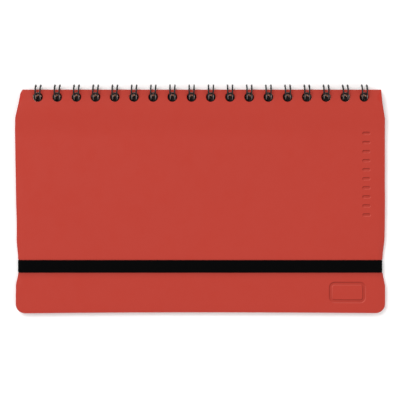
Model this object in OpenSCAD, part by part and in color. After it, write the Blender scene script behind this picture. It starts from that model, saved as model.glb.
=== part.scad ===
// Twin-loop wire-bound planner with soft covers and an elastic closure band.
// Lies on its back cover. +Z up, X along the binding, +Y towards the binding.
// Origin: centre of the footprint, on the surface it rests on. Millimetres.

/* [Covers] */
// Width of both covers at their widest
cover_w = 163.2; // [162.8:0.2:164.4]
// Length of both covers, from the binding edge to the free edge
cover_l = 98.3; // [98:0.1:100]
// Thickness of the front cover
front_t = 0.65; // [0.55:0.05:0.7]
// Thickness of the back cover
back_t = 1.0; // [1:0.05:1.1]
// Radius of the two corners at the free edge
corner_r = 4.6; // [3:0.1:6]
// How much narrower each side is at the binding edge
shoulder_in = 2.2; // [1.6:0.1:2.6]
// Distance from the binding edge over which the side tapers
shoulder_l = 12.5; // [10:0.5:15]
// How far the elastic pulls each side in around the band
waist_in = 1.05; // [0.8:0.05:1.2]
// How much deeper the soft edge is pinched right under the band
notch_in = 0.45; // [0.35:0.05:0.5]

/* [Leaves] */
// Thickness of one paper leaf
leaf_t = 0.1; // [0.08:0.01:0.1]
// Width of the leaves
leaf_w = 157; // [154:0.5:157.5]
// Length of the leaves, from the binding edge
leaf_l = 96.5; // [94:0.5:97]
// Radius of the leaf corners at the free edge
leaf_r = 4; // [2:0.5:5]

/* [Binding] */
// Number of twin loops
loops = 18; // [16:1:18]
// Loop pitch of the 3:1 wire, three loops to the inch
pitch = 8.4667; // [8.4667]
// Diameter of the coated wire
wire_d = 0.7; // [0.6:0.05:0.7]
// Radius of a loop, to the middle of the wire
loop_r = 3.25; // [3.25:0.05:3.35]
// Distance between the two wires of one loop
twin = 2.1; // [1.9:0.1:2.1]
// Diameter of the punched holes
hole_d = 4.3; // [4.3:0.05:4.4]
// Distance from the binding edge to the hole centres
hole_in = 3.2; // [3.1:0.05:3.2]
// How much further in the leaves are punched than the covers
leaf_hole_drop = 0; // [0:0.05:0.1]
// How far the loop centre lies inside the binding edge
loop_in = 0.85; // [0.8:0.05:0.9]

/* [Elastic band] */
// Width of the flat elastic
band_w = 5.5; // [5:0.5:6.5]
// Thickness of the flat elastic
band_t = 0.4; // [0.35:0.05:0.4]
// Distance from the binding edge to the middle of the band
band_from_top = 77.9; // [70:0.1:80]
// Distance from the middle of the cover to the slot that takes the tail
slot_x = 67; // [60:1:70]

/* [Hidden] */
MONTHS = 12;
LEAVES = 16;
leaf_gap = 0.012;
wire_r = wire_d / 2;
// the jointed stack: sixteen leaves and the front cover
leaf_z0 = back_t + leaf_gap;
leaf_step = leaf_t + leaf_gap;
front_z0 = leaf_z0 + LEAVES * leaf_step;
top_z = front_z0 + front_t;
half_stack = (top_z - leaf_z0) / 2;
// the loops stand 0.12 mm clear of the surface; the sheets turn about hinge_z
loop_z = loop_r + wire_r + 0.12;
hinge_z = loop_z - 0.1;
// the punched strip is lifted by this much over the flat panel
lift = hinge_z - half_stack - leaf_z0;
strip_l = 6.4;
bend_l = 15;
BEND_STEPS = 12;
// the binding edge and the punched holes
out_y = loop_r + wire_r - loop_in;
edge_y = (cover_l - out_y) / 2;
hole_y = edge_y - hole_in;
loop_y = edge_y - loop_in;
band_y = edge_y - band_from_top;
waist_x = cover_w / 2 - waist_in - notch_in;
// the wire: it starts and ends under the back cover
root_a = -76;
tip_a = 240;
root_bend = 0.5;

function smooth(t) = (1 - cos(180 * min(1, max(0, t)))) / 2;
function lift_at(b) = lift * (1 - smooth((b - strip_l) / bend_l));

// half width of a cover at the distance d from the binding edge
function shoulder_at(d) = shoulder_in * pow(max(0, 1 - d / shoulder_l), 1.05);
function waist_at(d) =
    let (u = d - band_from_top, v = abs(u) - band_w / 2 - 0.05)
    waist_in * (u < 0 ? 0.7 * (1 - smooth(v / 10)) + 0.3 * (1 - smooth((v - 5.2) / 38)) : 1 - smooth(v / 6.4))
    + notch_in * (1 - smooth(v / 0.35));
function corner_at(d, l, r) = d <= l - r ? 0 : r - sqrt(max(0, r * r - pow(d - l + r, 2)));
function cover_half(d) = cover_w / 2 - shoulder_at(d) - waist_at(d) - corner_at(d, cover_l, corner_r);

COVER_D = concat(
    [for (i = [0:6]) i * 2],
    [16, 28, 34, 40, 46, 52, 57, 61, 64, 66, 68, 70, 71.5, 73, 74.2],
    [for (v = [-0.35, -0.24, -0.17, -0.1, 0]) band_from_top - band_w / 2 - 0.05 + v],
    [for (v = [0, 0.1, 0.17, 0.24, 0.35]) band_from_top + band_w / 2 + 0.05 + v],
    [81.8, 82.7, 83.6, 84.5, 85.4, 86.3, 87.3, 90],
    [for (i = [0:9]) cover_l - corner_r + corner_r * sin(i * 10)]
);

// the side view of a sheet: the lifted strip, the bend and the flat panel
module sheet_profile(z0, t, l) {
    b = concat([0, strip_l], [for (i = [1:BEND_STEPS]) strip_l + bend_l * i / BEND_STEPS], [l]);
    under = [for (v = b) [edge_y - v, z0 + lift_at(v)]];
    over = [for (i = [len(b) - 1:-1:0]) [edge_y - b[i], z0 + t + lift_at(b[i])]];
    polygon(concat(under, over));
}

module holes(drop) {
    for (i = [0:loops - 1])
        translate([(i - (loops - 1) / 2) * pitch, hole_y - drop, -1])
            cylinder(d = hole_d, h = 12, $fn = 64);
}

module cover_outline() {
    right = [for (d = COVER_D) [cover_half(d), edge_y - d]];
    left = [for (i = [len(COVER_D) - 1:-1:0]) [-cover_half(COVER_D[i]), edge_y - COVER_D[i]]];
    polygon(concat(right, left));
}

module leaf_outline() {
    r = leaf_r;
    x = leaf_w / 2;
    y0 = edge_y - leaf_l;
    arc = [for (i = [0:8]) [x - r + r * cos(i * 11.25), y0 + r - r * sin(i * 11.25)]];
    arc2 = [for (i = [8:-1:0]) [-arc[i][0], arc[i][1]]];
    polygon(concat([[x - 1, edge_y], [x, edge_y - 1]], arc, arc2, [[-x, edge_y - 1], [-x + 1, edge_y]]));
}

module sheet(z0, t, l, drop = 0) {
    difference() {
        intersection() {
            rotate([90, 0, 90])
                linear_extrude(height = cover_w + 10, center = true)
                    sheet_profile(z0, t, l);
            translate([0, 0, -1])
                linear_extrude(height = 12)
                    children();
        }
        holes(drop);
    }
}

module leaf(i) {
    color([0.96, 0.94, 0.88])
        sheet(leaf_z0 + (LEAVES - i) * leaf_step, leaf_t, leaf_l, leaf_hole_drop)
            leaf_outline();
}

module front_cover() {
    color([0.75, 0.27, 0.23])
        sheet(front_z0, front_t, cover_l)
            cover_outline();
}

// the back cover holds the ends of the elastic: a shallow channel under it leads each end to a slot, and the clip sits in a pocket over the slot
module back_cover() {
    color([0.72, 0.25, 0.21])
        difference() {
            sheet(0, back_t, cover_l)
                cover_outline();
            for (s = [-1, 1]) {
                translate([s > 0 ? slot_x - 0.15 : -cover_w, band_y - band_w / 2 - 0.2, -1])
                    cube([cover_w - slot_x + 0.15, band_w + 0.4, 1 + band_t + 0.06]);
                translate([s * (slot_x + band_t / 2) - 0.35, band_y - band_w / 2 - 0.2, 0.2])
                    cube([0.7, band_w + 0.4, 0.7]);
                translate([s * (slot_x + band_t / 2) - 1.35, band_y - 3.95, back_t - 0.4])
                    cube([2.7, 7.9, 2]);
            }
        }
}

// side view of the elastic, right half, from the middle of the front run round to the tail
module band_profile() {
    z1 = top_z + 0.02;
    z2 = z1 + band_t;
    xi = waist_x + 0.03;
    xo = xi + band_t;
    u0 = 0.03;
    u1 = u0 + band_t;
    tail = back_t - 0.4;
    top_arc = [for (i = [8:-1:0]) [xi + band_t * cos(i * 11.25), z1 + band_t * sin(i * 11.25)]];
    low_arc = [for (i = [0:8]) [xi + band_t * cos(i * 11.25), u1 - band_t * sin(i * 11.25)]];
    right = concat(
        top_arc, low_arc,
        [[slot_x, u0], [slot_x, tail], [slot_x + band_t, tail], [slot_x + band_t, u1], [xi, u1], [xi, z1]]
    );
    left = [for (i = [len(right) - 1:-1:0]) [-right[i][0], right[i][1]]];
    polygon(concat(right, left));
}

module elastic_band() {
    color([0.03, 0.03, 0.03])
        translate([0, band_y + band_w / 2, 0])
            rotate([90, 0, 0])
                linear_extrude(height = band_w)
                    band_profile();
}

// the flat metal bar crimped on the end of the elastic
module elastic_clip(s) {
    color([0.7, 0.7, 0.72])
        translate([s * (slot_x + band_t / 2), band_y, back_t - 0.4]) {
            translate([-1.2, -2.6, 0])
                cube([2.4, 5.2, 0.36]);
            for (e = [-1, 1])
                translate([0, e * 2.6, 0])
                    cylinder(r = 1.2, h = 0.36, $fn = 48);
        }
}

// one wire of a loop, and the U bend that joins the two wires at their tips
module loop_arc(x) {
    translate([x, 0, 0])
        rotate([90, 0, 90])
            rotate([0, 0, root_a])
                rotate_extrude(angle = tip_a - root_a, $fn = 72)
                    translate([loop_r, 0])
                        circle(r = wire_r, $fn = 24);
}

module bend_at(x, a, r, from, sweep) {
    rotate([90, 0, 90])
        rotate([0, 0, a])
            translate([loop_r, 0, x])
                rotate([0, -90, 0])
                    rotate([0, 0, from])
                        rotate_extrude(angle = sweep, $fn = 48)
                            translate([r, 0])
                                circle(r = wire_r, $fn = 24);
}

module root_bar(x) {
    rotate([90, 0, 90])
        rotate([0, 0, root_a])
            translate([loop_r, -root_bend, x + twin / 2 + root_bend])
                cylinder(r = wire_r, h = pitch - twin - 2 * root_bend, $fn = 24);
}

// one length of wire: a comb of twin loops closed into rings
module binding_wire() {
    color([0.1, 0.1, 0.11])
        translate([0, loop_y, loop_z])
            for (i = [0:loops - 1]) {
                x = (i - (loops - 1) / 2) * pitch;
                loop_arc(x - twin / 2);
                loop_arc(x + twin / 2);
                bend_at(x, tip_a, twin / 2, 0, 180);
                if (i > 0)
                    bend_at(x - twin / 2 - root_bend, root_a, root_bend, 270, 90);
                if (i < loops - 1) {
                    bend_at(x + twin / 2 + root_bend, root_a, root_bend, 180, 90);
                    root_bar(x);
                }
            }
}

module elastic_clip_left() { elastic_clip(-1); }
module elastic_clip_right() { elastic_clip(1); }

module title_leaf() { leaf(1); }
module year_leaf() { leaf(2); }
module january_leaf() { leaf(3); }
module february_leaf() { leaf(4); }
module march_leaf() { leaf(5); }
module april_leaf() { leaf(6); }
module may_leaf() { leaf(7); }
module june_leaf() { leaf(8); }
module july_leaf() { leaf(9); }
module august_leaf() { leaf(10); }
module september_leaf() { leaf(11); }
module october_leaf() { leaf(12); }
module november_leaf() { leaf(13); }
module december_leaf() { leaf(14); }
module notes_leaf_a() { leaf(15); }
module notes_leaf_b() { leaf(16); }

front_cover();
back_cover();
binding_wire();
elastic_band();
elastic_clip_left();
elastic_clip_right();
title_leaf();
year_leaf();
january_leaf();
february_leaf();
march_leaf();
april_leaf();
may_leaf();
june_leaf();
july_leaf();
august_leaf();
september_leaf();
october_leaf();
november_leaf();
december_leaf();
notes_leaf_a();
notes_leaf_b();
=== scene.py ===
import math

import bmesh
import bpy
import numpy as np
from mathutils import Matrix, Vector


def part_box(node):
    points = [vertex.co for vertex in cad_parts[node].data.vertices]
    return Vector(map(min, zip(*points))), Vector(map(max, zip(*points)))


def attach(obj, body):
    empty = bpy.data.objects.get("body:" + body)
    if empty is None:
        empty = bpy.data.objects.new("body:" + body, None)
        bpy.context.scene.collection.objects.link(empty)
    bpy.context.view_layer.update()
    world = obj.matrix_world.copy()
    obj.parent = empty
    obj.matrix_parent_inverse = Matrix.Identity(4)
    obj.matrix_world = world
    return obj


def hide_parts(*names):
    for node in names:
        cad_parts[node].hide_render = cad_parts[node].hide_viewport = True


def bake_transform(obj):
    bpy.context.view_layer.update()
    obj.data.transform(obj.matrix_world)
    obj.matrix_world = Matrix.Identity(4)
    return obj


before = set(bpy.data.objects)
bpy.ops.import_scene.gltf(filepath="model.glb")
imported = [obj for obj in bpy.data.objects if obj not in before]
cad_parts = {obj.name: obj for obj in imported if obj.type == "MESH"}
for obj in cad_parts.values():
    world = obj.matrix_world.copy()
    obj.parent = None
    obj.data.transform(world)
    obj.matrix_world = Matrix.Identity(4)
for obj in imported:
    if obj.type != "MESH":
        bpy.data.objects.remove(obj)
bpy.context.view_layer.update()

MM = 0.001
# ---------------------------------------------------------------- sizes, in millimetres, read from the frame where it holds them
fc_lo, fc_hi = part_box("front_cover")
bc_lo, bc_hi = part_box("back_cover")
lf_lo, lf_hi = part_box("title_leaf")
EDGE_Y = fc_hi.y / MM
COVER_L = (fc_hi.y - fc_lo.y) / MM
COVER_W = (fc_hi.x - fc_lo.x) / MM
LEAF_L = (lf_hi.y - lf_lo.y) / MM
LEAF_W = (lf_hi.x - lf_lo.x) / MM
FRONT_T, BACK_T = 0.65, 1.0
LIFT = bc_hi.z / MM - BACK_T
FRONT_Z0 = fc_lo.z / MM
TOP_Z = FRONT_Z0 + FRONT_T
STRIP_L, BEND_L = 6.4, 15.0
CORNER_R, LEAF_R = 4.2, 4.0
LOOPS, PITCH = 18, 8.4667
HOLE_R, HOLE_IN = 2.15, 3.2
LOOP_R, WIRE_R, TWIN, LOOP_IN = 3.25, 0.35, 2.1, 0.85
LOOP_Z = LOOP_R + WIRE_R + 0.12
BAND_W, BAND_T, BAND_B, SLOT_X = 5.5, 0.4, 77.9, 67.0
WAIST_IN, NOTCH_IN = 1.05, 0.45
BAND_Y = EDGE_Y - BAND_B


def clamp01(t):
    return min(1.0, max(0.0, t))


def smooth(t):
    return (1 - math.cos(math.pi * clamp01(t))) / 2


def lift_at(b):
    return LIFT * (1 - smooth((b - STRIP_L) / BEND_L))


def waist(b):
    """How strongly the elastic draws the sides in, 1 at the band."""
    u = b - BAND_B
    v = abs(u) - BAND_W / 2 - 0.05
    if u < 0:
        return 0.7 * (1 - smooth(v / 10)) + 0.3 * (1 - smooth((v - 5.2) / 38))
    return 1 - smooth(v / 6.4)


def notch(b):
    """The soft edge is pinched deeper right under the band."""
    return 1 - smooth((abs(b - BAND_B) - BAND_W / 2 - 0.05) / 0.35)


def corner(b, length, r):
    return 0.0 if b <= length - r else r - math.sqrt(max(0.0, r * r - (b - length + r) ** 2))


def shoulder(b):
    return 1.75 * max(0.0, 1 - b / 12.9)


def cover_half(b, inset=0.0):
    sh = shoulder(b)
    return COVER_W / 2 - inset - sh - WAIST_IN * waist(b) - NOTCH_IN * notch(b) - corner(b, COVER_L - inset, CORNER_R - inset)


def left_corner(b):
    """The soft covers taper a little more on the left, and that corner is worn rounder."""
    return 2.55 * max(0.0, 1 - b / 12.2) + 0.5 * max(0.0, 1 - b / 2) ** 2 - shoulder(b)


def leaf_half(b, inset=0.0):
    top = max(0.0, 1 - b)
    return LEAF_W / 2 - inset - top - corner(b, LEAF_L - inset, LEAF_R - inset)


# ---------------------------------------------------------------- sheet builder
def sheet(name, half, length, z0, t, rho, hole_b, hole_r, droop, nc=12, nm=5, rows=None, puff=None, left=None):
    """A punched sheet as one closed quad mesh with rounded edges. half(b, inset) is the half width at distance b from the binding edge, droop(x, b) moves both faces, puff(x, b) the upper face alone."""
    nr = 9
    cell_b = 2 * hole_b
    x_in = LOOPS * PITCH / 2
    ncol = nm * 2 + LOOPS * nc
    last = length - rho
    rest = [cell_b + (last - cell_b - 4.8) * i / 96 for i in range(1, 97)]
    if rows:
        rest = sorted([b for b in rest if min(abs(b - r) for r in rows) > 0.22] + list(rows))
    tail = [last - 4.8 + 4.8 * math.sin(math.radians(i * 9)) for i in range(1, 11)]
    bs = [rho + (cell_b - rho) * i / nr for i in range(nr + 1)] + rest + tail
    nrow = len(bs) - 1

    def xat(c, b):
        w = half(b, rho)
        if c < nm:
            w -= left(b) if left else 0.0
            return -(x_in + (w - x_in) * (1 - c / nm))
        if c > ncol - nm:
            return x_in + (w - x_in) * (c - (ncol - nm)) / nm
        return -x_in + (c - nm) * PITCH / nc

    verts, faces = [], []

    def put(x, b, side, dz=0.0):
        z = z0 + lift_at(b) + droop(x, b) + (t + (puff(x, b) if puff else 0.0) - dz if side else dz)
        verts.append((x * MM, (EDGE_Y - b) * MM, z * MM))
        return len(verts) - 1

    def face(ids, side):
        faces.append(ids if side else ids[::-1])

    loops_2d = {}
    for side in (1, 0):
        grid = {}

        def g(c, r):
            if (c, r) not in grid:
                grid[c, r] = put(xat(c, bs[r]), bs[r], side)
            return grid[c, r]

        holes = []
        for r in range(nrow):
            for c in range(ncol):
                if r < nr and nm <= c < ncol - nm:
                    continue
                face([g(c, r + 1), g(c + 1, r + 1), g(c + 1, r), g(c, r)], side)
        for k in range(LOOPS):
            c0 = nm + k * nc
            rim = (
                [(c0 + i, 0) for i in range(nc)]
                + [(c0 + nc, i) for i in range(nr)]
                + [(c0 + nc - i, nr) for i in range(nc)]
                + [(c0, nr - i) for i in range(nr)]
            )
            xc = (k - (LOOPS - 1) / 2) * PITCH
            outer = [(xat(c, bs[r]), bs[r], g(c, r)) for c, r in rim]
            prev = [o[2] for o in outer]
            dirs = []
            for x, b, _ in outer:
                a = math.atan2(b - hole_b, x - xc)
                dirs.append((math.cos(a), math.sin(a)))
            for s in (0.4, 0.75, 1.0):
                ring = []
                for (x, b, _), (dx, db) in zip(outer, dirs):
                    px = x + (xc + dx * (hole_r + rho) - x) * s
                    pb = b + (hole_b + db * (hole_r + rho) - b) * s
                    ring.append(put(px, pb, side))
                for i in range(len(ring)):
                    j = (i + 1) % len(ring)
                    face([prev[i], ring[i], ring[j], prev[j]], side)
                prev = ring
            holes.append((prev, [(xc + dx * (hole_r + rho), hole_b + db * (hole_r + rho)) for dx, db in dirs], [(-dx, -db) for dx, db in dirs]))
        edge = (
            [(c, 0) for c in range(ncol)]
            + [(ncol, r) for r in range(nrow)]
            + [(ncol - c, nrow) for c in range(ncol)]
            + [(0, nrow - r) for r in range(nrow)]
        )
        pts = [(xat(c, bs[r]), bs[r]) for c, r in edge]
        n = len(pts)
        normals = []
        for i in range(n):
            (x0, b0), (x1, b1), (x2, b2) = pts[i - 1], pts[i], pts[(i + 1) % n]
            e1, e2 = (x1 - x0, b1 - b0), (x2 - x1, b2 - b1)
            l1, l2 = math.hypot(*e1) or 1, math.hypot(*e2) or 1
            n1, n2 = (e1[1] / l1, -e1[0] / l1), (e2[1] / l2, -e2[0] / l2)
            mx, mb = n1[0] + n2[0], n1[1] + n2[1]
            q = mx * n1[0] + mb * n1[1]
            normals.append((mx / q, mb / q) if q > 0.2 else n1)
        loops_2d[side] = [([grid[c, r] for c, r in edge], pts, normals)] + holes
    steps = 4
    for top, low in zip(loops_2d[1], loops_2d[0]):
        rings = []
        for side, (ids, pts, normals) in ((1, top), (0, low)):
            own = [ids]
            for k in range(1, steps + 1):
                a = math.pi / 2 * k / steps
                own.append([put(p[0] + nn[0] * rho * math.sin(a), p[1] + nn[1] * rho * math.sin(a), side, rho * (1 - math.cos(a))) for p, nn in zip(pts, normals)])
            rings += own if side else own[::-1]
        for p, q in zip(rings, rings[1:]):
            for i in range(len(p)):
                j = (i + 1) % len(p)
                faces.append([p[i], p[j], q[j], q[i]])
    mesh = bpy.data.meshes.new(name)
    mesh.from_pydata(verts, [], faces)
    mesh.validate()
    bm = bmesh.new()
    bm.from_mesh(mesh)
    bmesh.ops.recalc_face_normals(bm, faces=bm.faces)
    bm.to_mesh(mesh)
    bm.free()
    obj = bpy.data.objects.new(name, mesh)
    bpy.context.scene.collection.objects.link(obj)
    return obj


def shade(obj, angle=35):
    obj.data.shade_smooth()
    obj.data.set_sharp_from_angle(angle=math.radians(angle))


def prism(low, high, z_low, z_high):
    """A closed solid between two outlines with the same number of points, in millimetres."""
    n = len(low)
    verts = [(x * MM, y * MM, z_low * MM) for x, y in low] + [(x * MM, y * MM, z_high * MM) for x, y in high]
    faces = [list(range(n))[::-1], list(range(n, 2 * n))] + [[i, (i + 1) % n, n + (i + 1) % n, n + i] for i in range(n)]
    return verts, faces


def rounded(cx, cy, w, h, r, seg=6):
    pts = []
    for sx, sy, a0 in ((1, 1, 0), (-1, 1, 90), (-1, -1, 180), (1, -1, 270)):
        for i in range(seg + 1):
            a = math.radians(a0 + 90 * i / seg)
            pts.append((cx + sx * (w / 2 - r) + r * math.cos(a), cy + sy * (h / 2 - r) + r * math.sin(a)))
    return pts


def cut(obj, solids):
    verts, faces = [], []
    for v, f in solids:
        k = len(verts)
        verts += v
        faces += [[i + k for i in g] for g in f]
    mesh = bpy.data.meshes.new("cutter")
    mesh.from_pydata(verts, [], faces)
    bm = bmesh.new()
    bm.from_mesh(mesh)
    bmesh.ops.recalc_face_normals(bm, faces=bm.faces)
    bm.to_mesh(mesh)
    bm.free()
    tool = bpy.data.objects.new("cutter", mesh)
    bpy.context.scene.collection.objects.link(tool)
    m = obj.modifiers.new("cut", "BOOLEAN")
    m.operation, m.solver, m.object = "DIFFERENCE", "EXACT", tool
    bpy.context.view_layer.update()
    made = bpy.data.meshes.new_from_object(obj.evaluated_get(bpy.context.evaluated_depsgraph_get()))
    obj.modifiers.clear()
    obj.data = made
    bpy.data.objects.remove(tool)
    return obj


def rim_attribute(obj, half, length, hole_b, hole_r, left=None, z_top=None):
    """1 at the outline and round the holes, 0 on the faces."""
    co = np.zeros(len(obj.data.vertices) * 3)
    obj.data.vertices.foreach_get("co", co)
    co = co.reshape(-1, 3) / MM
    out = np.zeros(len(co), np.float32)
    sunk = np.zeros(len(co), np.float32)
    for i, (x, y, z) in enumerate(co):
        b = EDGE_Y - y
        bb = min(max(b, 0), length)
        d = min(half(bb) - (left(bb) if left and x < 0 else 0.0) - abs(x), b, length - b)
        if z_top is not None and d > 2.0 and 0.1 < z_top + lift_at(bb) - z < 0.45 and b > 12:
            sunk[i] = 1.0
        if b < 2 * hole_b + 1:
            k = round(x / PITCH - 0.5) + 0.5
            d = min(d, math.hypot(x - k * PITCH, b - hole_b) - hole_r)
        out[i] = 1 - clamp01(d / 0.45)
    for key, values in (("rim", out), ("sunk", sunk)):
        a = obj.data.attributes.new(key, "FLOAT", "POINT")
        a.data.foreach_set("value", values)


def wall_attribute(obj):
    """How the walls of the debossed marks face, which steers their painted shade and painted highlight: 1 away from the
    upper left, -1 towards it.
    """
    mesh = obj.data
    values = np.zeros(len(mesh.loops), np.float32)
    for f in mesh.polygons:
        x, b = f.center.x / MM, EDGE_Y - f.center.y / MM
        flat = math.hypot(f.normal.x, f.normal.y)
        if 50 < x < 76.5 and 12 < b < 95.5 and 0.1 < f.normal.z < 0.97 and flat > 0.2:
            values[f.loop_start : f.loop_start + f.loop_total] = (f.normal.x - f.normal.y) * 0.7071 / flat
    a = mesh.attributes.new("wall", "FLOAT", "CORNER")
    a.data.foreach_set("value", values)


SHIFT = 0.48
WORN_LEFT = ((0, -0.32), (2, -0.16), (5, -0.22), (9, -0.15), (12, -0.04), (17, 0.18), (27, 0.05), (40, -0.12), (50, -0.15), (58, -0.26), (64, -0.22), (69, -0.05), (76, 0.03), (81, -0.06), (84, -0.08), (87.6, -0.24), (90, -0.16), (99, -0.12))
WORN_RIGHT = ((0, 0.0), (3, -0.12), (5, -0.26), (8, -0.18), (12, 0.0), (40, 0.04), (49, 0.26), (58, 0.33), (65, 0.27), (70, 0.17), (74.5, 0.17), (76, 0.04), (80, 0.06), (81.5, 0.28), (83, 0.26), (85, 0.12), (90, 0.12), (99, 0.12))


def settle(obj, worn=True):
    """The punched row sits a little to one side of the soft outline, the sides have worn unevenly and the free edge bows in at its middle."""
    co = np.zeros(len(obj.data.vertices) * 3)
    obj.data.vertices.foreach_get("co", co)
    co = co.reshape(-1, 3) / MM
    x, b = co[:, 0], EDGE_Y - co[:, 1]
    w = np.clip((np.abs(x) - 70) / 9, 0, 1)
    w = w * w * (3 - 2 * w)
    move = np.full(len(co), -SHIFT)
    if worn:
        left_w = np.interp(b, *zip(*WORN_LEFT))
        right_w = np.interp(b, *zip(*WORN_RIGHT))
        move += np.where(x < 0, -left_w, right_w)
        free = np.clip((b - (COVER_L - 13)) / 11, 0, 1)
        free = free * free * (3 - 2 * free)
        bow_in = np.where(x < 0, 0.4 * (np.abs(x) / 75) ** 2, 0.31 * (np.abs(x) / 75) ** 1.7)
        co[:, 1] -= bow_in * free
    co[:, 0] += move * w
    obj.data.vertices.foreach_set("co", (co * MM).ravel())
    obj.data.update()


# ---------------------------------------------------------------- material helpers
class Tree:
    def __init__(self, name):
        self.mat = bpy.data.materials.new(name)
        self.mat.use_nodes = True
        self.nt = self.mat.node_tree
        self.bsdf = self.nt.nodes["Principled BSDF"]
        self.coord = self.nt.nodes.new("ShaderNodeTexCoord").outputs["Object"]

    def link(self, a, b):
        self.nt.links.new(a, b)

    def put(self, socket, value):
        if hasattr(value, "links"):
            self.link(value, socket)
        else:
            socket.default_value = value

    def math(self, op, a, b=0.0, c=None, clamp=False):
        n = self.nt.nodes.new("ShaderNodeMath")
        n.operation, n.use_clamp = op, clamp
        self.put(n.inputs[0], a)
        self.put(n.inputs[1], b)
        if c is not None:
            self.put(n.inputs[2], c)
        return n.outputs[0]

    def range(self, v, a, b, c=0.0, d=1.0, smoothly=True):
        n = self.nt.nodes.new("ShaderNodeMapRange")
        n.interpolation_type = "SMOOTHSTEP" if smoothly else "LINEAR"
        self.put(n.inputs["Value"], v)
        for k, x in zip(("From Min", "From Max", "To Min", "To Max"), (a, b, c, d)):
            n.inputs[k].default_value = x
        return n.outputs[0]

    def scaled(self, s, offset=(0, 0, 0), rotation=(0, 0, 0)):
        n = self.nt.nodes.new("ShaderNodeMapping")
        n.inputs["Scale"].default_value = s if hasattr(s, "__len__") else (s, s, s)
        n.inputs["Location"].default_value = offset
        n.inputs["Rotation"].default_value = rotation
        self.link(self.coord, n.inputs["Vector"])
        return n.outputs[0]

    def noise(self, scale, detail=3.0, rough=0.55, vector=None):
        n = self.nt.nodes.new("ShaderNodeTexNoise")
        self.link(vector if vector is not None else self.coord, n.inputs["Vector"])
        n.inputs["Scale"].default_value = scale
        n.inputs["Detail"].default_value = detail
        n.inputs["Roughness"].default_value = rough
        return n.outputs["Fac"]

    def voronoi(self, scale, feature="F1", rand=1.0, vector=None):
        n = self.nt.nodes.new("ShaderNodeTexVoronoi")
        n.feature = feature
        self.link(vector if vector is not None else self.coord, n.inputs["Vector"])
        n.inputs["Scale"].default_value = scale
        n.inputs["Randomness"].default_value = rand
        return n.outputs["Distance"]

    def xyz(self):
        n = self.nt.nodes.new("ShaderNodeSeparateXYZ")
        self.link(self.coord, n.inputs[0])
        return n.outputs

    def attribute(self, name):
        n = self.nt.nodes.new("ShaderNodeAttribute")
        n.attribute_name = name
        return n.outputs["Fac"]

    def mix(self, fac, a, b, blend="MIX"):
        n = self.nt.nodes.new("ShaderNodeMix")
        n.data_type, n.blend_type = "RGBA", blend
        self.put(n.inputs[0], fac)
        for s, v in ((n.inputs[6], a), (n.inputs[7], b)):
            self.put(s, v if hasattr(v, "links") else (*v, 1.0))
        return n.outputs[2]

    def bump(self, height, strength, distance, normal=None):
        n = self.nt.nodes.new("ShaderNodeBump")
        self.link(height, n.inputs["Height"])
        n.inputs["Strength"].default_value = strength
        n.inputs["Distance"].default_value = distance
        if normal is not None:
            self.link(normal, n.inputs["Normal"])
        return n.outputs[0]

    def done(self, color=None, rough=None, normal=None, **constants):
        if color is not None:
            self.put(self.bsdf.inputs["Base Color"], color if hasattr(color, "links") else (*color, 1.0))
        if rough is not None:
            self.put(self.bsdf.inputs["Roughness"], rough)
        if normal is not None:
            self.link(normal, self.bsdf.inputs["Normal"])
        for k, v in constants.items():
            self.bsdf.inputs[k.replace("_", " ")].default_value = v
        return self.mat


# ---------------------------------------------------------------- materials
def cover_material(name, base, deep, rim, band_shadow=False):
    t = Tree(name)
    big = t.noise(28, 4)
    fine = t.noise(2600, 3)
    pebble = t.voronoi(1500, "SMOOTH_F1")
    creases = t.voronoi(900, "DISTANCE_TO_EDGE")
    tone = t.math("ADD", t.math("MULTIPLY", big, 0.4), t.math("MULTIPLY", fine, 0.6))
    color = t.mix(t.range(tone, 0.3, 0.75), deep, base)
    color = t.mix(t.range(creases, 0.0, 0.12, 0.14, 0.0), color, deep)
    if band_shadow:
        # painted shadow of the elastic: a faint dark line below its lower edge, and fainter painted shade under it and
        # just past both its edges
        y = t.xyz()[1]
        low = (BAND_Y - BAND_W / 2) * MM
        line = t.math("MULTIPLY", t.range(y, low - 0.0029, low, 0.0, 1.0, False), t.math("LESS_THAN", y, low + 0.0002))
        line = t.math("POWER", line, 1.5)
        under_band_shade = t.range(t.math("ABSOLUTE", t.math("SUBTRACT", y, BAND_Y * MM)), 0.00255, 0.0029, 0.32, 0.0)
        color = t.mix(t.math("MULTIPLY", t.math("MAXIMUM", line, under_band_shade), 0.24), color, tuple(c * 0.02 for c in base))
    edge = t.attribute("rim")
    color = t.mix(t.math("MULTIPLY", t.range(edge, 0.25, 1.0), 0.75), color, rim)
    # painted shade: the floors of the debossed marks are darkened a little
    color = t.mix(t.math("MULTIPLY", t.attribute("sunk"), 0.12), color, tuple(c * 0.35 for c in deep))
    # painted shade on the walls of the debossed marks that face away from the upper left, and a painted highlight on
    # the walls facing it
    wall = t.attribute("wall")
    color = t.mix(t.math("MULTIPLY", wall, 0.75, clamp=True), color, tuple(c * 0.35 for c in deep))
    color = t.mix(t.math("MULTIPLY", wall, -0.5, clamp=True), color, (0.62, 0.13, 0.1))
    # rubbed spots along the edges show lighter
    wear_and_highlight = t.math("MULTIPLY", t.range(t.noise(420, 4), 0.56, 0.72), t.range(edge, 0.6, 1.0))
    color = t.mix(t.math("MULTIPLY", wear_and_highlight, 0.12), color, (0.55, 0.12, 0.08))
    rough = t.range(t.noise(160, 4), 0.3, 0.75, 0.56, 0.7)
    height = t.math("ADD", t.math("MULTIPLY", pebble, 0.7), t.math("MULTIPLY", fine, 0.3))
    normal = t.bump(height, 0.22, 0.00005)
    normal = t.bump(t.noise(14, 3), 0.05, 0.001, normal)
    return t.done(color, rough, normal, Specular_IOR_Level=0.2)


# the front cover carries the painted shadow of the elastic band
COVER_FRONT = cover_material("cover_leather_red", (0.3785, 0.0319, 0.0188), (0.3675, 0.0303, 0.0177), (0.3785, 0.0214, 0.0112), band_shadow=True)
COVER_BACK = cover_material("cover_leather_red_back", (0.371, 0.0312, 0.0184), (0.358, 0.0295, 0.0171), (0.371, 0.021, 0.0109))


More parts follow.
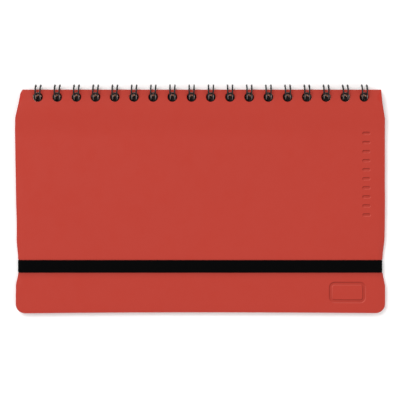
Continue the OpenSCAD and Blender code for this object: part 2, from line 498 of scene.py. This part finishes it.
def elastic_material():
    t = Tree("woven_elastic_black")
    x, y, z = t.xyz()
    # picks across the band, cords along it
    along = t.math("SINE", t.math("MULTIPLY", t.math("ADD", x, z), 2 * math.pi / 0.00052))
    across = t.math("SINE", t.math("MULTIPLY", y, 2 * math.pi / 0.0005))
    weave = t.math("MULTIPLY", along, across)
    fuzz = t.noise(5200, 4)
    height = t.math("ADD", t.math("MULTIPLY", weave, 0.5), t.math("MULTIPLY", fuzz, 0.6))
    color = t.mix(t.range(height, -0.3, 1.0), (0.0004, 0.0004, 0.0005), (0.0022, 0.0022, 0.0024))
    rough = t.range(fuzz, 0.3, 0.7, 0.82, 0.96)
    return t.done(color, rough, t.bump(height, 0.5, 0.00006), Specular_IOR_Level=0.03)


ELASTIC = elastic_material()


def wire_material():
    t = Tree("coated_wire_black")
    n = t.noise(700, 4)
    color = t.mix(t.range(n, 0.35, 0.7), (0.004, 0.0042, 0.0046), (0.009, 0.0092, 0.0098))
    # painted highlight: a light grey streak on the wires where they run down through the holes
    color = t.mix(t.math("MULTIPLY", t.attribute("wear_and_highlight"), t.range(n, 0.2, 0.6, 0.6, 0.95)), color, (0.36, 0.33, 0.32))
    color = t.mix(t.math("MULTIPLY", t.attribute("tip"), 0.97), color, (0.93, 0.5, 0.36))
    rough = t.range(t.noise(1500, 3), 0.3, 0.7, 0.28, 0.38)
    return t.done(color, rough, t.bump(t.noise(2200, 3), 0.12, 0.00004), Specular_IOR_Level=0.26)


WIRE = wire_material()


def metal_material():
    t = Tree("nickel_clip")
    x, y, z = t.xyz()
    n = t.noise(900, 4, vector=t.scaled((6, 0.6, 6)))
    color = t.mix(t.range(n, 0.3, 0.7), (0.52, 0.52, 0.53), (0.66, 0.66, 0.67))
    return t.done(color, t.range(n, 0.3, 0.7, 0.22, 0.38), t.bump(n, 0.1, 0.00003), Metallic=1.0)


METAL = metal_material()


def paper_material(kind, tint, shift):
    """Uncoated cream paper with plain printed rulings: kind is month, year, title or notes."""
    t = Tree(f"paper_{kind}_{shift}")
    x, y, z = t.xyz()
    fibre = t.noise(900, 6, 0.65, vector=t.scaled((1.0, 0.55, 1.0), (shift * 0.013, 0, 0)))
    blotch = t.noise(35, 3, vector=t.scaled(1.0, (shift * 0.07, 0.02, 0)))
    low = tuple(c * 0.93 for c in tint)
    color = t.mix(t.range(fibre, 0.3, 0.72), low, tint)
    color = t.mix(t.math("MULTIPLY", t.range(blotch, 0.3, 0.7), 0.25), color, tuple(c * f for c, f in zip(tint, (0.97, 0.95, 0.9))))

    def line(v, origin, step, width):
        # 1 on lines every step from origin
        u = t.math("DIVIDE", t.math("SUBTRACT", v, origin - step / 2), step)
        f = t.math("ABSOLUTE", t.math("SUBTRACT", t.math("FRACT", u), 0.5))
        return t.range(f, width * 0.45 / step, width * 0.6 / step, 1.0, 0.0)

    def inside(v, a, b):
        return t.math("MULTIPLY", t.math("GREATER_THAN", v, a), t.math("LESS_THAN", v, b))

    top = (EDGE_Y - 12) * MM
    low_y = (EDGE_Y - LEAF_L + 6) * MM
    half = 0.071
    ink = (0.18, 0.19, 0.21)
    w = 0.00022
    if kind == "month":
        head = 0.009
        body_top = top - head
        rows = 5
        step_y = (body_top - low_y) / rows
        step_x = 2 * half / 7
        area = t.math("MULTIPLY", inside(x, -half - w, half + w), inside(y, low_y - w, body_top + w))
        grid = t.math("MAXIMUM", line(x, -half, step_x, w), line(y, low_y, step_y, w))
        mask = t.math("MULTIPLY", area, grid)
        tab = t.math("MULTIPLY", inside(x, -half, half), inside(y, body_top + 0.001, body_top + 0.0045))
        color = t.mix(t.math("MULTIPLY", tab, 0.55), color, (0.45, 0.12, 0.09))
        # one small tick in the corner of each box
        fx = t.math("FRACT", t.math("DIVIDE", t.math("ADD", x, half), step_x))
        fy = t.math("FRACT", t.math("DIVIDE", t.math("SUBTRACT", y, low_y), step_y))
        tick = t.math("MULTIPLY", inside(fx, 0.07, 0.16), inside(fy, 0.86, 0.92))
        mask = t.math("MAXIMUM", mask, t.math("MULTIPLY", tick, area))
    elif kind == "year":
        sx, sy = 2 * half / 4, (top - low_y) / 3
        fx = t.math("FRACT", t.math("DIVIDE", t.math("ADD", x, half), sx))
        fy = t.math("FRACT", t.math("DIVIDE", t.math("SUBTRACT", y, low_y), sy))
        block = t.math("MULTIPLY", inside(fx, 0.1, 0.9), inside(fy, 0.1, 0.72))
        area = t.math("MULTIPLY", inside(x, -half, half), inside(y, low_y, top))
        cx = t.math("ABSOLUTE", t.math("SUBTRACT", t.math("FRACT", t.math("MULTIPLY", t.math("SUBTRACT", fx, 0.1), 7 / 0.8)), 0.5))
        cy = t.math("ABSOLUTE", t.math("SUBTRACT", t.math("FRACT", t.math("MULTIPLY", t.math("SUBTRACT", fy, 0.1), 5 / 0.62)), 0.5))
        dots = t.math("MULTIPLY", t.math("LESS_THAN", cx, 0.17), t.math("LESS_THAN", cy, 0.15))
        bar = t.math("MULTIPLY", inside(fx, 0.1, 0.9), inside(fy, 0.8, 0.83))
        mask = t.math("MULTIPLY", area, t.math("MAXIMUM", t.math("MULTIPLY", block, dots), bar))
    elif kind == "title":
        def frame_line(inset):
            a = t.math("MAXIMUM", t.math("DIVIDE", t.math("ABSOLUTE", x), half - inset), t.math("DIVIDE", t.math("ABSOLUTE", t.math("SUBTRACT", y, (top + low_y) / 2)), (top - low_y) / 2 - inset))
            d = t.math("ABSOLUTE", t.math("SUBTRACT", a, 1.0))
            return t.math("LESS_THAN", d, 0.0032)
        rule = t.math("MULTIPLY", inside(x, -0.026, 0.026), line(y, (top + low_y) / 2 - 0.012, 0.008, w))
        rule = t.math("MULTIPLY", rule, inside(y, (top + low_y) / 2 - 0.0125, (top + low_y) / 2 + 0.0045))
        mask = t.math("MAXIMUM", t.math("MAXIMUM", frame_line(0.0), frame_line(0.002)), rule)
    else:
        area = t.math("MULTIPLY", inside(x, -half, half), inside(y, low_y, top))
        mask = t.math("MULTIPLY", area, line(y, low_y, 0.006, w))
    color = t.mix(t.math("MULTIPLY", mask, 0.7), color, ink)
    normal = t.bump(fibre, 0.16, 0.00003)
    return t.done(color, t.range(fibre, 0.3, 0.7, 0.82, 0.93), normal, Specular_IOR_Level=0.18)


# ---------------------------------------------------------------- camera and lights
cam_data = bpy.data.cameras.new("camera")
cam_data.sensor_width = 36
FIELD, DIST = 0.1766, 0.75
cam_data.lens = 36 * DIST / FIELD
cam_data.clip_start, cam_data.clip_end = 0.01, 50
cam = bpy.data.objects.new("camera", cam_data)
bpy.context.scene.collection.objects.link(cam)
cam.location = (-0.00052, -0.0009, DIST + TOP_Z * MM)
bpy.context.scene.camera = cam

world = bpy.data.worlds.new("studio")
bpy.context.scene.world = world
world.use_nodes = True
sky = world.node_tree
back_node = sky.nodes["Background"]
back_node.inputs[0].default_value = (1.0, 1.0, 1.0, 1)
# a white tent that is dimmer overhead
way = sky.nodes.new("ShaderNodeTexCoord")
parts = sky.nodes.new("ShaderNodeSeparateXYZ")
ramp = sky.nodes.new("ShaderNodeMapRange")
ramp.interpolation_type = "SMOOTHSTEP"
sky.links.new(way.outputs["Generated"], parts.inputs[0])
sky.links.new(parts.outputs["Z"], ramp.inputs["Value"])
for key, value in (("From Min", 0.8), ("From Max", 0.97), ("To Min", 0.98), ("To Max", 0.3)):
    ramp.inputs[key].default_value = value
sky.links.new(ramp.outputs[0], back_node.inputs[1])


def area(name, where, size, power, look=(0, 0, 0)):
    data = bpy.data.lights.new(name, "AREA")
    data.energy, data.size = power, size
    o = bpy.data.objects.new(name, data)
    bpy.context.scene.collection.objects.link(o)
    o.location = where
    o.rotation_mode = "QUATERNION"
    o.rotation_quaternion = (Vector(look) - Vector(where)).to_track_quat("-Z", "Y")
    return o


area("key", (-0.42, 0.5, 1.0), 0.7, 8.0)
area("fill", (0.6, -0.35, 0.9), 0.9, 2.4)

scene = bpy.context.scene
scene.view_settings.view_transform = "Standard"
scene.view_settings.look = "None"
scene.view_settings.exposure = 0.0

# ---------------------------------------------------------------- floor
fm = bpy.data.meshes.new("floor")
fm.from_pydata([(-3, -3, 0), (3, -3, 0), (3, 3, 0), (-3, 3, 0)], [], [[0, 1, 2, 3]])
floor = bpy.data.objects.new("floor", fm)
floor.location.z = -0.00002
scene.collection.objects.link(floor)
ft = Tree("floor_pale")
pale = ft.mix(ft.range(ft.noise(3, 2), 0.3, 0.7), (0.93, 0.93, 0.93), (0.95, 0.95, 0.95))
# the table is in deep shade right under the punched strip
fx, fy, fz = ft.xyz()
shade_y = ft.range(ft.math("ABSOLUTE", ft.math("SUBTRACT", fy, (EDGE_Y - 3.3) * MM)), 0.0017, 0.0029, 1.0, 0.0)
shade_x = ft.range(ft.math("ABSOLUTE", fx), 0.0755, 0.0775, 1.0, 0.0)
pale = ft.mix(ft.math("MULTIPLY", shade_x, shade_y), pale, (0.07, 0.06, 0.06))
floor.data.materials.append(ft.done(pale, 0.85, Specular_IOR_Level=0.1))


# ---------------------------------------------------------------- front cover
def overhang(x, b):
    """0 over the leaves, 1 at the cover's outline."""
    side = clamp01((abs(x) - LEAF_W / 2 - 0.1) / 3.2)
    return side


def front_droop(x, b):
    o = overhang(x, b)
    free = clamp01((b - LEAF_L - 0.1) / 1.6) * 0.12
    return -(0.30 + 3.2 * waist(b)) * o ** 1.6 - free


def front_puff(x, b):
    # the elastic sinks into the soft cover
    d = abs(b - BAND_B) / (BAND_W / 2)
    dent = -0.05 * (1 - smooth((d - 0.85) / 0.45)) if d < 1.4 else 0.0
    return dent


PINCH = [BAND_B + s * (BAND_W / 2 + 0.05 + v) for s in (-1, 1) for v in (-0.08, 0.0, 0.09, 0.175, 0.26, 0.35, 0.43)]
FRONT_HOLE_IN, FRONT_HOLE_R = HOLE_IN + 0.08, HOLE_R - 0.05
front = sheet("front_cover_skin", cover_half, COVER_L, FRONT_Z0, FRONT_T, 0.2, FRONT_HOLE_IN, FRONT_HOLE_R, front_droop, rows=PINCH, puff=front_puff, left=left_corner)
marks = []
top_of = lambda b: TOP_Z + lift_at(b)
# a column of short plain bars, pressed into the cover
for i in range(10):
    b = 19.3 + i * 4.0
    cx, cy = 73.1, EDGE_Y - b
    z = top_of(b)
    marks.append(prism(rounded(cx, cy, 3.2, 0.8, 0.4), rounded(cx, cy, 4.1, 1.7, 0.85), z - 0.28, z + 0.12))


def ring_solid(cx, cy, w, h, r, g, depth):
    z = TOP_Z
    e = 0.4
    lo_o, hi_o = rounded(cx, cy, w - e, h - e, r - e / 2), rounded(cx, cy, w + e, h + e, r + e / 2)
    lo_i, hi_i = rounded(cx, cy, w - 2 * g + e, h - 2 * g + e, r - g + e / 2), rounded(cx, cy, w - 2 * g - e, h - 2 * g - e, r - g - e / 2)
    n = len(lo_o)
    rings = [(lo_o, z - depth), (hi_o, z + 0.12), (hi_i, z + 0.12), (lo_i, z - depth)]
    verts = [(x * MM, y * MM, zz * MM) for pts, zz in rings for x, y in pts]
    faces = []
    for k in range(4):
        m = (k + 1) % 4
        faces += [[k * n + i, k * n + (i + 1) % n, m * n + (i + 1) % n, m * n + i] for i in range(n)]
    return verts, faces


# one blank rounded frame
cy = EDGE_Y - 89.4
marks.append(ring_solid(64.6, cy, 16.2, 9.0, 2.4, 1.4, 0.3))
cut(front, marks)
rim_attribute(front, cover_half, COVER_L, FRONT_HOLE_IN, FRONT_HOLE_R, left_corner, TOP_Z)
wall_attribute(front)
settle(front)
shade(front)
front.data.materials.clear()
front.data.materials.append(COVER_FRONT)
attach(front, "front_cover")
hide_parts("front_cover")


# ---------------------------------------------------------------- back cover
def back_droop(x, b):
    return 0.0


back = sheet("back_cover_skin", cover_half, COVER_L, 0.0, BACK_T, 0.2, HOLE_IN, HOLE_R, back_droop, rows=PINCH, left=left_corner)


def block(x0, x1, y0, y1, z0, z1):
    return prism([(x0, y0), (x1, y0), (x1, y1), (x0, y1)], [(x0, y0), (x1, y0), (x1, y1), (x0, y1)], z0, z1)


solids = []
for s in (-1, 1):
    def span(a, b):
        return (min(s * a, s * b), max(s * a, s * b))
    c = s * (SLOT_X + BAND_T / 2)
    x0, x1 = span(SLOT_X - 0.15, COVER_W)
    solids.append([block(x0, x1, BAND_Y - BAND_W / 2 - 0.2, BAND_Y + BAND_W / 2 + 0.2, -1, BAND_T + 0.06)])
    solids.append([block(c - 0.35, c + 0.35, BAND_Y - BAND_W / 2 - 0.19, BAND_Y + BAND_W / 2 + 0.19, 0.2, 0.9)])
    pocket = rounded(c, BAND_Y, 2.7, 7.9, 0.5)
    solids.append([prism(pocket, pocket, BACK_T - 0.4, BACK_T + 1)])
for g in solids:
    cut(back, g)
rim_attribute(back, cover_half, COVER_L, HOLE_IN, HOLE_R, left_corner)
settle(back)
shade(back)
back.data.materials.clear()
back.data.materials.append(COVER_BACK)
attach(back, "back_cover")
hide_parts("back_cover")


# ---------------------------------------------------------------- wire
def tube(name, path, radius, sides=12):
    pts = np.array(path, float)
    n = len(pts)
    tan = np.gradient(pts, axis=0)
    tan /= np.linalg.norm(tan, axis=1)[:, None]
    up = np.zeros_like(pts)
    v = np.array([1.0, 0, 0]) if abs(tan[0][0]) < 0.9 else np.array([0, 1.0, 0])
    for i in range(n):
        v = v - tan[i] * np.dot(v, tan[i])
        v /= np.linalg.norm(v)
        up[i] = v
    side = np.cross(tan, up)
    verts, faces = [], []
    for i in range(n):
        for k in range(sides):
            a = 2 * math.pi * k / sides
            verts.append(tuple((pts[i] + radius * (math.cos(a) * up[i] + math.sin(a) * side[i])) * MM))
    for i in range(n - 1):
        for k in range(sides):
            k2 = (k + 1) % sides
            faces.append([i * sides + k, i * sides + k2, (i + 1) * sides + k2, (i + 1) * sides + k])
    # slightly domed ends
    for i, d in ((0, -1), (n - 1, 1)):
        ring = [i * sides + k for k in range(sides)]
        inner = []
        for k in range(sides):
            a = 2 * math.pi * k / sides
            p = pts[i] + tan[i] * d * radius * 0.22 + 0.7 * radius * (math.cos(a) * up[i] + math.sin(a) * side[i])
            verts.append(tuple(p * MM))
            inner.append(len(verts) - 1)
        for k in range(sides):
            k2 = (k + 1) % sides
            faces.append([ring[k], ring[k2], inner[k2], inner[k]])
        faces.append(inner)
    mesh = bpy.data.meshes.new(name)
    mesh.from_pydata(verts, [], faces)
    bm = bmesh.new()
    bm.from_mesh(mesh)
    bmesh.ops.recalc_face_normals(bm, faces=bm.faces)
    bm.to_mesh(mesh)
    bm.free()
    obj = bpy.data.objects.new(name, mesh)
    scene.collection.objects.link(obj)
    return obj


rng = np.random.default_rng(7)
ROOT_A, TIP_A, ROOT_BEND = -76.0, 231.0, 0.5
LOOP_Y = EDGE_Y - LOOP_IN
FLAT = 0.94


def on_ring(x, a, forward=0.0, lean=0.0):
    """A point on the loop at angle a, moved forward along the tangent."""
    r = math.radians(a)
    y = LOOP_R * math.cos(r) - math.sin(r) * forward
    z = LOOP_R * math.sin(r) + math.cos(r) * forward
    # the legs below the sheets splay outwards a little, and the loops are pressed slightly flat
    splay = x * 2 * LOOP_R * max(0.0, -math.sin(r)) / 750 * smooth((-a - 20) / 22) if -90 < a < 0 else 0.0
    return (x + lean * y / LOOP_R + splay, LOOP_Y + (y + LOOP_R) * FLAT - LOOP_R, LOOP_Z + z)


def bow(a):
    """The two wires of a loop stand slightly wider apart outside the edge than in the hole."""
    return 0.06 * math.cos(math.radians(a))


path = []
for k in range(LOOPS):
    x = (k - (LOOPS - 1) / 2) * PITCH
    lean = 0.06 - 0.07 * x / 72 + float(rng.uniform(-0.03, 0.03))
    h = TWIN / 2
    wob = [float(rng.uniform(-0.03, 0.03)) for _ in range(2)]
    if k > 0:
        for i in range(0, 7):
            a = math.radians(i * 15)
            path.append(on_ring(x - h - ROOT_BEND + ROOT_BEND * math.sin(a), ROOT_A, -ROOT_BEND * math.cos(a), lean))
    steps = 72
    for i in range(1 if k else 0, steps + 1):
        a = ROOT_A + (TIP_A - ROOT_A) * i / steps
        path.append(on_ring(x - h + (wob[0] - bow(a)) * math.sin(math.pi * i / steps), a, 0, lean))
    for i in range(1, 16):
        a = math.radians(180 - i * 12)
        path.append(on_ring(x + h * math.cos(a), TIP_A, h * math.sin(a), lean))
    for i in range(1, steps + 1):
        a = TIP_A + (ROOT_A - TIP_A) * i / steps
        path.append(on_ring(x + h + (wob[1] + bow(a)) * math.sin(math.pi * i / steps), a, 0, lean))
    if k < LOOPS - 1:
        for i in range(1, 7):
            a = math.radians(i * 15)
            path.append(on_ring(x + h + ROOT_BEND - ROOT_BEND * math.cos(a), ROOT_A, -ROOT_BEND * math.sin(a), lean))
        for i in range(1, 4):
            gap = PITCH - TWIN - 2 * ROOT_BEND
            path.append(on_ring(x + h + ROOT_BEND + gap * i / 4, ROOT_A, -ROOT_BEND, lean))
wire = tube("binding_wire_coated", path, WIRE_R)
# the coating is thin on the closed ends, and a painted highlight lies along the upper right side of each wire where it
# runs down through the holes
mid = np.array(path)
tip, wear_and_highlight = np.zeros(len(mid) * 12 + 24, np.float32), np.zeros(len(mid) * 12 + 24, np.float32)
for i, q in enumerate(mid):
    ang = math.degrees(math.atan2(q[2] - LOOP_Z, (q[1] - LOOP_Y + LOOP_R) / FLAT - LOOP_R)) % 360
    tip[i * 12 : i * 12 + 12] = smooth((ang - 218) / 12) if ang < 275 else 0.0
    window = smooth((ang - 112) / 14) * (1 - smooth((ang - 184) / 14))
    for k in range(12):
        v = np.array(wire.data.vertices[i * 12 + k].co) / MM - q
        v /= np.linalg.norm(v)
        wear_and_highlight[i * 12 + k] = window * clamp01(0.8 * v[0] + 0.6 * v[2]) ** 2
for key, values in (("tip", tip), ("wear_and_highlight", wear_and_highlight)):
    wire.data.attributes.new(key, "FLOAT", "POINT").data.foreach_set("value", values)
shade(wire, 60)
wire.data.materials.append(WIRE)
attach(wire, "binding_wire")
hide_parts("binding_wire")


# ---------------------------------------------------------------- elastic band
def front_top(x):
    """Height of the front cover's upper face under the middle of the band."""
    return TOP_Z + front_droop(x, BAND_B) - 0.05


half_w = cover_half(BAND_B)
edge_z = front_top(half_w - 0.2)
right = []
nrun = 190
for i in range(nrun + 1):
    x = (half_w - 0.25) * i / nrun
    right.append((x, front_top(x) + BAND_T / 2 + 0.02))
# over the edge of the cover and down the side
cx_, cz_ = half_w - 0.25, front_top(half_w - 0.25) - 0.12
r0 = BAND_T / 2 + 0.14
for i in range(1, 9):
    a = math.radians(90 - i * 11.25)
    right.append((cx_ + (r0 + 0.12) * math.cos(a), cz_ + r0 * math.sin(a)))
xs = right[-1][0]
z_top_leg = right[-1][1]
z_low = 0.03 + BAND_T / 2
rr = 0.3
for i in range(1, 13):
    z = z_top_leg + (z_low + rr - z_top_leg) * i / 12
    right.append((xs - 0.05 * math.sin(math.pi * i / 12), z))
for i in range(1, 7):
    a = math.radians(-i * 15)
    right.append((xs - rr + rr * math.cos(a), z_low + rr + rr * math.sin(a)))
x_end = SLOT_X + BAND_T / 2
x_now = right[-1][0]
for i in range(1, 25):
    right.append((x_now + (x_end + 0.2 - x_now) * i / 24, z_low))
for i in range(1, 5):
    a = math.radians(-90 - i * 22.5)
    right.append((x_end + 0.2 + 0.2 * math.cos(a), z_low + 0.2 + 0.2 * math.sin(a)))
right.append((x_end, BACK_T - 0.42))
line = [(-x, z) for x, z in right[::-1][:-1]] + right
line = np.array(line)


def band_mesh(name, line, width, thick):
    """A flat woven elastic: cords run along it and show as soft ribs on both faces, and its edges are slightly scalloped."""
    m = 37
    tan = np.gradient(line, axis=0)
    tan /= np.linalg.norm(tan, axis=1)[:, None]
    nor = np.stack([-tan[:, 1], tan[:, 0]], 1)
    arc = np.concatenate([[0], np.cumsum(np.linalg.norm(np.diff(line, axis=0), axis=1))])
    cords = 9
    verts, faces = [], []
    for i, (p, nn) in enumerate(zip(line, nor)):
        scallop = 0.05 * math.cos(2 * math.pi * arc[i] / 0.9)
        for side in (1, -1):
            for k in range(m):
                v = -1 + 2 * k / (m - 1)
                if side < 0:
                    v = -v
                edge = math.sqrt(max(0.0, 1 - abs(v) ** 14))
                rib = 0.035 * (abs(math.sin(math.pi * cords * (v + 1) / 2)) - 1)
                h = (thick / 2 + rib) * edge
                y = v * (width / 2 + scallop * (abs(v) > 0.9) * 0.5)
                verts.append(((p[0] + nn[0] * h * side) * MM, (BAND_Y - 0.07 + y) * MM, (p[1] + nn[1] * h * side) * MM))
    ring = 2 * m
    n = len(line)
    for i in range(n - 1):
        for k in range(ring):
            k2 = (k + 1) % ring
            faces.append([i * ring + k, i * ring + k2, (i + 1) * ring + k2, (i + 1) * ring + k])
    for i in (0, n - 1):
        base = i * ring
        for k in range(m - 1):
            faces.append([base + k, base + k + 1, base + ring - 2 - k, base + ring - 1 - k])
    mesh = bpy.data.meshes.new(name)
    mesh.from_pydata(verts, [], faces)
    mesh.validate()
    bm = bmesh.new()
    bm.from_mesh(mesh)
    bmesh.ops.remove_doubles(bm, verts=bm.verts, dist=1e-7)
    bmesh.ops.recalc_face_normals(bm, faces=bm.faces)
    bm.to_mesh(mesh)
    bm.free()
    obj = bpy.data.objects.new(name, mesh)
    scene.collection.objects.link(obj)
    return obj


band = band_mesh("elastic_band_woven", line, BAND_W + 0.05, BAND_T)
settle(band, worn=False)
shade(band, 60)
band.data.materials.append(ELASTIC)
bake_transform(band)
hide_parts("elastic_band")

# ---------------------------------------------------------------- leaves and clips keep their CAD shape
TINT = (0.69, 0.645, 0.55)
kinds = {"title_leaf": "title", "year_leaf": "year", "notes_leaf_a": "notes", "notes_leaf_b": "notes"}
for i, n in enumerate(sorted(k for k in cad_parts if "leaf" in k)):
    mat = paper_material(kinds.get(n, "month"), tuple(c * (0.985 + 0.003 * (i % 6)) for c in TINT), i)
    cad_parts[n].material_slots[0].material = mat
for n in ("elastic_clip_left", "elastic_clip_right"):
    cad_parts[n].material_slots[0].material = METAL
